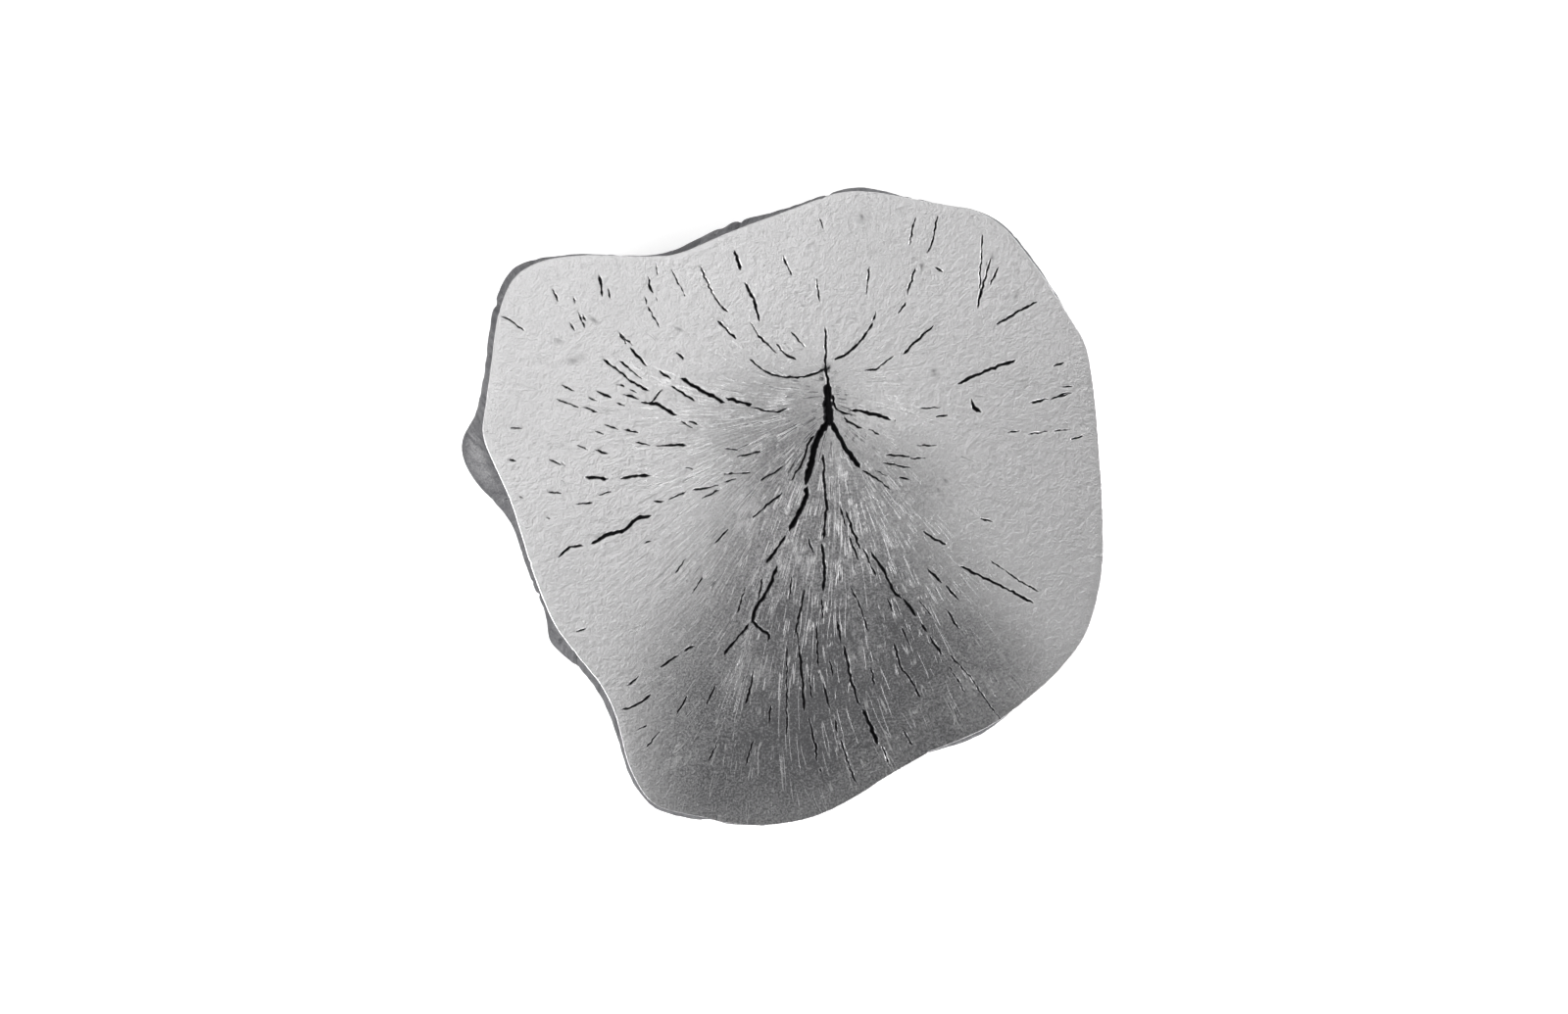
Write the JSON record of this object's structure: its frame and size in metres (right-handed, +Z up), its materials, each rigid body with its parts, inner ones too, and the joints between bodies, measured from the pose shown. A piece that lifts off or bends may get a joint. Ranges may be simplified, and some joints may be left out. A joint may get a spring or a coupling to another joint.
{
  "type": "log stool",
  "caption": "Hollow cast tree-stump stool or side table with an irregular checked end-grain top, timber base and screw levellers.",
  "frame": {"origin": "centre of the bounding box at floor level, under the soles", "axes": "+Z up to the top; +X and +Y across it, with the larger branch knot towards -X"},
  "size_m": [0.4236, 0.4269, 0.45],
  "materials": {
    "silver_leaf": "satin",
    "plywood": "matte",
    "softwood": "matte",
    "zinc_steel": "satin",
    "nylon": "satin",
    "felt": "matte"
  },
  "bodies": {
    "stool": {"trunk_wall": "silver_leaf", "top_cap": "silver_leaf", "seat_board": "plywood", "seat_screws": "zinc_steel", "base_board": "plywood", "cleat_1": "softwood", "cleat_2": "softwood", "cleat_3": "softwood", "cleat_4": "softwood", "cleat_screws": "zinc_steel", "insert_1": "zinc_steel", "insert_2": "zinc_steel", "insert_3": "zinc_steel", "insert_4": "zinc_steel"},
    "leveller_foot_1": {"foot_1": "nylon", "sole_1": "felt"},
    "leveller_stud_1": {"levelling_stud_1": "zinc_steel"},
    "leveller_foot_2": {"foot_2": "nylon", "sole_2": "felt"},
    "leveller_stud_2": {"levelling_stud_2": "zinc_steel"},
    "leveller_foot_3": {"foot_3": "nylon", "sole_3": "felt"},
    "leveller_stud_3": {"levelling_stud_3": "zinc_steel"},
    "leveller_foot_4": {"foot_4": "nylon", "sole_4": "felt"},
    "leveller_stud_4": {"levelling_stud_4": "zinc_steel"}
  },
  "joints": [
    {"name": "leveller_1_height", "type": "slide", "parent": "stool", "child": "leveller_foot_1", "axis": [0, 0, -1], "range_m": [0, 0.01]},
    {"name": "leveller_1_turn", "type": "hinge", "parent": "leveller_foot_1", "child": "leveller_stud_1", "pos_m": [0.13495, 0.12137, 0.012], "axis": [0, 0, -1], "range_deg": [0, 2880]},
    {"name": "leveller_2_height", "type": "slide", "parent": "stool", "child": "leveller_foot_2", "axis": [0, 0, -1], "range_m": [0, 0.01]},
    {"name": "leveller_2_turn", "type": "hinge", "parent": "leveller_foot_2", "child": "leveller_stud_2", "pos_m": [-0.13744, 0.12746, 0.012], "axis": [0, 0, -1], "range_deg": [0, 2880]},
    {"name": "leveller_3_height", "type": "slide", "parent": "stool", "child": "leveller_foot_3", "axis": [0, 0, -1], "range_m": [0, 0.01]},
    {"name": "leveller_3_turn", "type": "hinge", "parent": "leveller_foot_3", "child": "leveller_stud_3", "pos_m": [-0.08878, -0.09076, 0.012], "axis": [0, 0, -1], "range_deg": [0, 2880]},
    {"name": "leveller_4_height", "type": "slide", "parent": "stool", "child": "leveller_foot_4", "axis": [0, 0, -1], "range_m": [0, 0.01]},
    {"name": "leveller_4_turn", "type": "hinge", "parent": "leveller_foot_4", "child": "leveller_stud_4", "pos_m": [0.11781, -0.10212, 0.012], "axis": [0, 0, -1], "range_deg": [0, 2880]}
  ],
  "couplings": [
    {"joint": "leveller_1_turn", "follows": "leveller_1_height", "rad_per_m": 5026.5},
    {"joint": "leveller_2_turn", "follows": "leveller_2_height", "rad_per_m": 5026.5},
    {"joint": "leveller_3_turn", "follows": "leveller_3_height", "rad_per_m": 5026.5},
    {"joint": "leveller_4_turn", "follows": "leveller_4_height", "rad_per_m": 5026.5}
  ]
}
